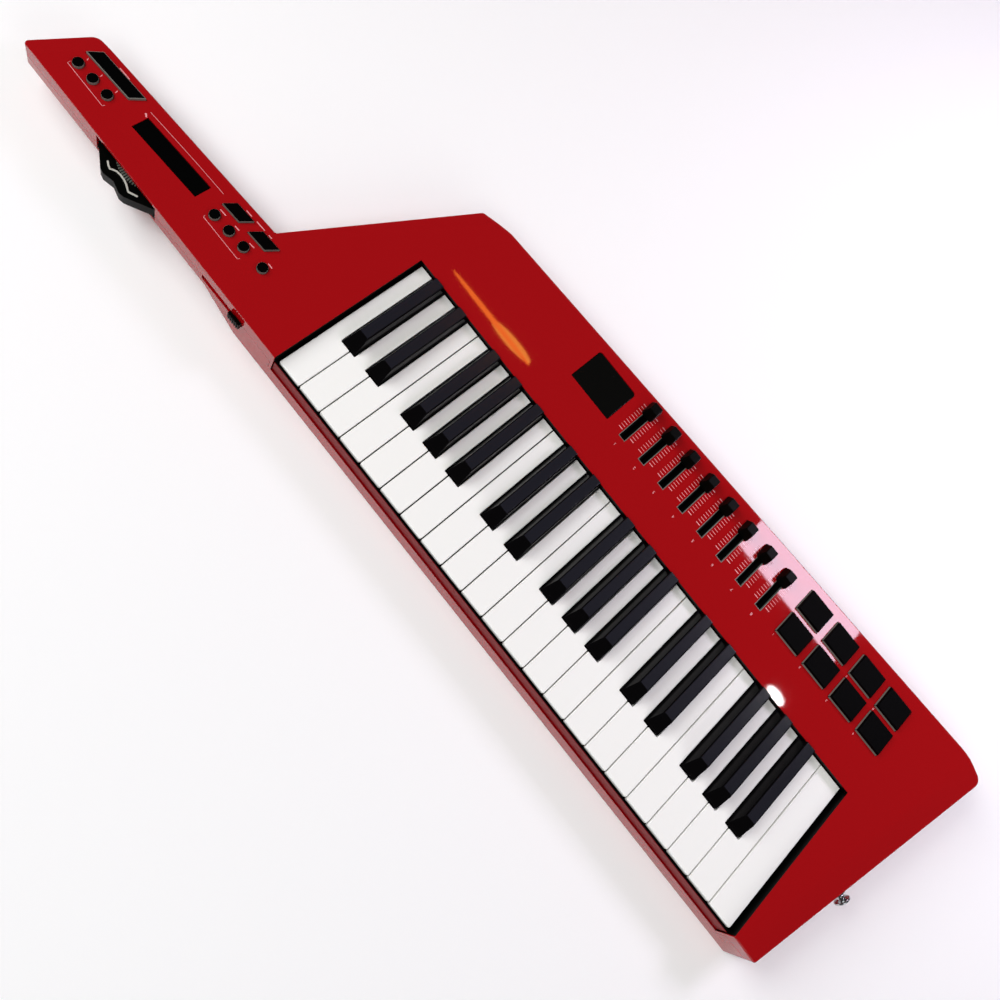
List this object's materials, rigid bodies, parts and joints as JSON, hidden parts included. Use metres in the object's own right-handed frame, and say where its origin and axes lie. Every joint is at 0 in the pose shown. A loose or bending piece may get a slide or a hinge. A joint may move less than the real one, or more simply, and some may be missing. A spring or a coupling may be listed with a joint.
{
  "type": "keytar",
  "caption": "Strap-hung keyboard controller: full-size keys in a slanted red case with a slim neck, pitch wheel, slide controls, drum pads and a small display.",
  "frame": {"origin": "On the flat back of the body, under the middle of the visible white keys. The back faces -Z.", "axes": "+X runs along the key row towards the high notes, away from the neck. +Y runs from the fronts of the keys to the panel. +Z points out of the playing face."},
  "size_m": [0.8961, 0.2604, 0.0525],
  "materials": {
    "red_shell": "high-gloss red lacquer over moulded plastic",
    "white_key": "smooth white moulded keys",
    "black_key": "satin black moulded keys",
    "black_plastic": "satin black moulded caps and wheel parts",
    "black_rubber": "soft black silicone",
    "dark_acrylic": "dark polished window",
    "frame_plastic": "plain dark moulded frame",
    "circuit_board": "green solder mask",
    "steel": "plated steel"
  },
  "bodies": {
    "case": {"top_cover": "red_shell", "bottom_cover": "red_shell", "key_frame": "frame_plastic", "panel_board": "circuit_board", "neck_board": "circuit_board", "pad_mat": "black_rubber", "display_window": "dark_acrylic", "touch_strip": "dark_acrylic", "neck_keypad": "black_rubber", "wheel_housing": "black_plastic", "strap_peg": "steel"},
    "battery_door": {"battery_door": "red_shell"},
    "pitch_wheel": {"pitch_wheel": "black_plastic"},
    "volume_slider": {"volume_slider": "black_plastic"},
    "sustain_button": {"sustain_button": "black_plastic"},
    "fader_cap_1": {"fader_cap_1": "black_plastic"},
    "fader_cap_2": {"fader_cap_2": "black_plastic"},
    "fader_cap_3": {"fader_cap_3": "black_plastic"},
    "fader_cap_4": {"fader_cap_4": "black_plastic"},
    "fader_cap_5": {"fader_cap_5": "black_plastic"},
    "fader_cap_6": {"fader_cap_6": "black_plastic"},
    "fader_cap_7": {"fader_cap_7": "black_plastic"},
    "fader_cap_8": {"fader_cap_8": "black_plastic"},
    "key_c2": {"key_c2": "white_key"},
    "key_d2": {"key_d2": "white_key"},
    "key_e2": {"key_e2": "white_key"},
    "key_f2": {"key_f2": "white_key"},
    "key_g2": {"key_g2": "white_key"},
    "key_a2": {"key_a2": "white_key"},
    "key_b2": {"key_b2": "white_key"},
    "key_c3": {"key_c3": "white_key"},
    "key_d3": {"key_d3": "white_key"},
    "key_e3": {"key_e3": "white_key"},
    "key_f3": {"key_f3": "white_key"},
    "key_g3": {"key_g3": "white_key"},
    "key_a3": {"key_a3": "white_key"},
    "key_b3": {"key_b3": "white_key"},
    "key_c4": {"key_c4": "white_key"},
    "key_d4": {"key_d4": "white_key"},
    "key_e4": {"key_e4": "white_key"},
    "key_f4": {"key_f4": "white_key"},
    "key_g4": {"key_g4": "white_key"},
    "key_a4": {"key_a4": "white_key"},
    "key_b4": {"key_b4": "white_key"},
    "key_c5": {"key_c5": "white_key"},
    "key_c_sharp2": {"key_c_sharp2": "black_key"},
    "key_d_sharp2": {"key_d_sharp2": "black_key"},
    "key_f_sharp2": {"key_f_sharp2": "black_key"},
    "key_g_sharp2": {"key_g_sharp2": "black_key"},
    "key_a_sharp2": {"key_a_sharp2": "black_key"},
    "key_c_sharp3": {"key_c_sharp3": "black_key"},
    "key_d_sharp3": {"key_d_sharp3": "black_key"},
    "key_f_sharp3": {"key_f_sharp3": "black_key"},
    "key_g_sharp3": {"key_g_sharp3": "black_key"},
    "key_a_sharp3": {"key_a_sharp3": "black_key"},
    "key_c_sharp4": {"key_c_sharp4": "black_key"},
    "key_d_sharp4": {"key_d_sharp4": "black_key"},
    "key_f_sharp4": {"key_f_sharp4": "black_key"},
    "key_g_sharp4": {"key_g_sharp4": "black_key"},
    "key_a_sharp4": {"key_a_sharp4": "black_key"}
  },
  "joints": [
    {"name": "battery_door_hinge", "type": "hinge", "parent": "case", "child": "battery_door", "pos_m": [-0.1915, 0.1124, 0.0003], "axis": [-1, 0, 0], "range_deg": [0, 60]},
    {"name": "pitch_wheel_turn", "type": "hinge", "parent": "case", "child": "pitch_wheel", "pos_m": [-0.43401, -0.049, 0.0295], "axis": [0, 0, 1], "range_deg": [-18, 18], "stiffness_Nm_per_rad": 0.05},
    {"name": "volume_slide", "type": "slide", "parent": "case", "child": "volume_slider", "axis": [1, 0, 0], "range_m": [-0.03, 0]},
    {"name": "sustain_press", "type": "slide", "parent": "case", "child": "sustain_button", "axis": [0, 0, 1], "range_m": [-0.0012, 0], "stiffness_N_per_m": 400, "springref_m": 0.0015},
    {"name": "fader_slide_1", "type": "slide", "parent": "case", "child": "fader_cap_1", "axis": [0, 1, 0], "range_m": [-0.03, 0]},
    {"name": "fader_slide_2", "type": "slide", "parent": "case", "child": "fader_cap_2", "axis": [0, 1, 0], "range_m": [-0.03, 0]},
    {"name": "fader_slide_3", "type": "slide", "parent": "case", "child": "fader_cap_3", "axis": [0, 1, 0], "range_m": [-0.03, 0]},
    {"name": "fader_slide_4", "type": "slide", "parent": "case", "child": "fader_cap_4", "axis": [0, 1, 0], "range_m": [-0.03, 0]},
    {"name": "fader_slide_5", "type": "slide", "parent": "case", "child": "fader_cap_5", "axis": [0, 1, 0], "range_m": [-0.03, 0]},
    {"name": "fader_slide_6", "type": "slide", "parent": "case", "child": "fader_cap_6", "axis": [0, 1, 0], "range_m": [-0.03, 0]},
    {"name": "fader_slide_7", "type": "slide", "parent": "case", "child": "fader_cap_7", "axis": [0, 1, 0], "range_m": [-0.03, 0]},
    {"name": "fader_slide_8", "type": "slide", "parent": "case", "child": "fader_cap_8", "axis": [0, 1, 0], "range_m": [-0.03, 0]},
    {"name": "key_c2_press", "type": "hinge", "parent": "case", "child": "key_c2", "pos_m": [0, 0.099, 0.0235], "axis": [1, 0, 0], "range_deg": [0, 3.4], "stiffness_Nm_per_rad": 0.5, "springref_deg": -8.59},
    {"name": "key_d2_press", "type": "hinge", "parent": "case", "child": "key_d2", "pos_m": [0, 0.099, 0.0235], "axis": [1, 0, 0], "range_deg": [0, 3.4], "stiffness_Nm_per_rad": 0.5, "springref_deg": -8.59},
    {"name": "key_e2_press", "type": "hinge", "parent": "case", "child": "key_e2", "pos_m": [0, 0.099, 0.0235], "axis": [1, 0, 0], "range_deg": [0, 3.4], "stiffness_Nm_per_rad": 0.5, "springref_deg": -8.59},
    {"name": "key_f2_press", "type": "hinge", "parent": "case", "child": "key_f2", "pos_m": [0, 0.099, 0.0235], "axis": [1, 0, 0], "range_deg": [0, 3.4], "stiffness_Nm_per_rad": 0.5, "springref_deg": -8.59},
    {"name": "key_g2_press", "type": "hinge", "parent": "case", "child": "key_g2", "pos_m": [0, 0.099, 0.0235], "axis": [1, 0, 0], "range_deg": [0, 3.4], "stiffness_Nm_per_rad": 0.5, "springref_deg": -8.59},
    {"name": "key_a2_press", "type": "hinge", "parent": "case", "child": "key_a2", "pos_m": [0, 0.099, 0.0235], "axis": [1, 0, 0], "range_deg": [0, 3.4], "stiffness_Nm_per_rad": 0.5, "springref_deg": -8.59},
    {"name": "key_b2_press", "type": "hinge", "parent": "case", "child": "key_b2", "pos_m": [0, 0.099, 0.0235], "axis": [1, 0, 0], "range_deg": [0, 3.4], "stiffness_Nm_per_rad": 0.5, "springref_deg": -8.59},
    {"name": "key_c3_press", "type": "hinge", "parent": "case", "child": "key_c3", "pos_m": [0, 0.099, 0.0235], "axis": [1, 0, 0], "range_deg": [0, 3.4], "stiffness_Nm_per_rad": 0.5, "springref_deg": -8.59},
    {"name": "key_d3_press", "type": "hinge", "parent": "case", "child": "key_d3", "pos_m": [0, 0.099, 0.0235], "axis": [1, 0, 0], "range_deg": [0, 3.4], "stiffness_Nm_per_rad": 0.5, "springref_deg": -8.59},
    {"name": "key_e3_press", "type": "hinge", "parent": "case", "child": "key_e3", "pos_m": [0, 0.099, 0.0235], "axis": [1, 0, 0], "range_deg": [0, 3.4], "stiffness_Nm_per_rad": 0.5, "springref_deg": -8.59},
    {"name": "key_f3_press", "type": "hinge", "parent": "case", "child": "key_f3", "pos_m": [0, 0.099, 0.0235], "axis": [1, 0, 0], "range_deg": [0, 3.4], "stiffness_Nm_per_rad": 0.5, "springref_deg": -8.59},
    {"name": "key_g3_press", "type": "hinge", "parent": "case", "child": "key_g3", "pos_m": [0, 0.099, 0.0235], "axis": [1, 0, 0], "range_deg": [0, 3.4], "stiffness_Nm_per_rad": 0.5, "springref_deg": -8.59},
    {"name": "key_a3_press", "type": "hinge", "parent": "case", "child": "key_a3", "pos_m": [0, 0.099, 0.0235], "axis": [1, 0, 0], "range_deg": [0, 3.4], "stiffness_Nm_per_rad": 0.5, "springref_deg": -8.59},
    {"name": "key_b3_press", "type": "hinge", "parent": "case", "child": "key_b3", "pos_m": [0, 0.099, 0.0235], "axis": [1, 0, 0], "range_deg": [0, 3.4], "stiffness_Nm_per_rad": 0.5, "springref_deg": -8.59},
    {"name": "key_c4_press", "type": "hinge", "parent": "case", "child": "key_c4", "pos_m": [0, 0.099, 0.0235], "axis": [1, 0, 0], "range_deg": [0, 3.4], "stiffness_Nm_per_rad": 0.5, "springref_deg": -8.59},
    {"name": "key_d4_press", "type": "hinge", "parent": "case", "child": "key_d4", "pos_m": [0, 0.099, 0.0235], "axis": [1, 0, 0], "range_deg": [0, 3.4], "stiffness_Nm_per_rad": 0.5, "springref_deg": -8.59},
    {"name": "key_e4_press", "type": "hinge", "parent": "case", "child": "key_e4", "pos_m": [0, 0.099, 0.0235], "axis": [1, 0, 0], "range_deg": [0, 3.4], "stiffness_Nm_per_rad": 0.5, "springref_deg": -8.59},
    {"name": "key_f4_press", "type": "hinge", "parent": "case", "child": "key_f4", "pos_m": [0, 0.099, 0.0235], "axis": [1, 0, 0], "range_deg": [0, 3.4], "stiffness_Nm_per_rad": 0.5, "springref_deg": -8.59},
    {"name": "key_g4_press", "type": "hinge", "parent": "case", "child": "key_g4", "pos_m": [0, 0.099, 0.0235], "axis": [1, 0, 0], "range_deg": [0, 3.4], "stiffness_Nm_per_rad": 0.5, "springref_deg": -8.59},
    {"name": "key_a4_press", "type": "hinge", "parent": "case", "child": "key_a4", "pos_m": [0, 0.099, 0.0235], "axis": [1, 0, 0], "range_deg": [0, 3.4], "stiffness_Nm_per_rad": 0.5, "springref_deg": -8.59},
    {"name": "key_b4_press", "type": "hinge", "parent": "case", "child": "key_b4", "pos_m": [0, 0.099, 0.0235], "axis": [1, 0, 0], "range_deg": [0, 3.4], "stiffness_Nm_per_rad": 0.5, "springref_deg": -8.59},
    {"name": "key_c5_press", "type": "hinge", "parent": "case", "child": "key_c5", "pos_m": [0, 0.099, 0.0235], "axis": [1, 0, 0], "range_deg": [0, 3.4], "stiffness_Nm_per_rad": 0.5, "springref_deg": -8.59},
    {"name": "key_c_sharp2_press", "type": "hinge", "parent": "case", "child": "key_c_sharp2", "pos_m": [0, 0.099, 0.0235], "axis": [1, 0, 0], "range_deg": [0, 4], "stiffness_Nm_per_rad": 0.5, "springref_deg": -8.59},
    {"name": "key_d_sharp2_press", "type": "hinge", "parent": "case", "child": "key_d_sharp2", "pos_m": [0, 0.099, 0.0235], "axis": [1, 0, 0], "range_deg": [0, 4], "stiffness_Nm_per_rad": 0.5, "springref_deg": -8.59},
    {"name": "key_f_sharp2_press", "type": "hinge", "parent": "case", "child": "key_f_sharp2", "pos_m": [0, 0.099, 0.0235], "axis": [1, 0, 0], "range_deg": [0, 4], "stiffness_Nm_per_rad": 0.5, "springref_deg": -8.59},
    {"name": "key_g_sharp2_press", "type": "hinge", "parent": "case", "child": "key_g_sharp2", "pos_m": [0, 0.099, 0.0235], "axis": [1, 0, 0], "range_deg": [0, 4], "stiffness_Nm_per_rad": 0.5, "springref_deg": -8.59},
    {"name": "key_a_sharp2_press", "type": "hinge", "parent": "case", "child": "key_a_sharp2", "pos_m": [0, 0.099, 0.0235], "axis": [1, 0, 0], "range_deg": [0, 4], "stiffness_Nm_per_rad": 0.5, "springref_deg": -8.59},
    {"name": "key_c_sharp3_press", "type": "hinge", "parent": "case", "child": "key_c_sharp3", "pos_m": [0, 0.099, 0.0235], "axis": [1, 0, 0], "range_deg": [0, 4], "stiffness_Nm_per_rad": 0.5, "springref_deg": -8.59},
    {"name": "key_d_sharp3_press", "type": "hinge", "parent": "case", "child": "key_d_sharp3", "pos_m": [0, 0.099, 0.0235], "axis": [1, 0, 0], "range_deg": [0, 4], "stiffness_Nm_per_rad": 0.5, "springref_deg": -8.59},
    {"name": "key_f_sharp3_press", "type": "hinge", "parent": "case", "child": "key_f_sharp3", "pos_m": [0, 0.099, 0.0235], "axis": [1, 0, 0], "range_deg": [0, 4], "stiffness_Nm_per_rad": 0.5, "springref_deg": -8.59},
    {"name": "key_g_sharp3_press", "type": "hinge", "parent": "case", "child": "key_g_sharp3", "pos_m": [0, 0.099, 0.0235], "axis": [1, 0, 0], "range_deg": [0, 4], "stiffness_Nm_per_rad": 0.5, "springref_deg": -8.59},
    {"name": "key_a_sharp3_press", "type": "hinge", "parent": "case", "child": "key_a_sharp3", "pos_m": [0, 0.099, 0.0235], "axis": [1, 0, 0], "range_deg": [0, 4], "stiffness_Nm_per_rad": 0.5, "springref_deg": -8.59},
    {"name": "key_c_sharp4_press", "type": "hinge", "parent": "case", "child": "key_c_sharp4", "pos_m": [0, 0.099, 0.0235], "axis": [1, 0, 0], "range_deg": [0, 4], "stiffness_Nm_per_rad": 0.5, "springref_deg": -8.59},
    {"name": "key_d_sharp4_press", "type": "hinge", "parent": "case", "child": "key_d_sharp4", "pos_m": [0, 0.099, 0.0235], "axis": [1, 0, 0], "range_deg": [0, 4], "stiffness_Nm_per_rad": 0.5, "springref_deg": -8.59},
    {"name": "key_f_sharp4_press", "type": "hinge", "parent": "case", "child": "key_f_sharp4", "pos_m": [0, 0.099, 0.0235], "axis": [1, 0, 0], "range_deg": [0, 4], "stiffness_Nm_per_rad": 0.5, "springref_deg": -8.59},
    {"name": "key_g_sharp4_press", "type": "hinge", "parent": "case", "child": "key_g_sharp4", "pos_m": [0, 0.099, 0.0235], "axis": [1, 0, 0], "range_deg": [0, 4], "stiffness_Nm_per_rad": 0.5, "springref_deg": -8.59},
    {"name": "key_a_sharp4_press", "type": "hinge", "parent": "case", "child": "key_a_sharp4", "pos_m": [0, 0.099, 0.0235], "axis": [1, 0, 0], "range_deg": [0, 4], "stiffness_Nm_per_rad": 0.5, "springref_deg": -8.59}
  ]
}
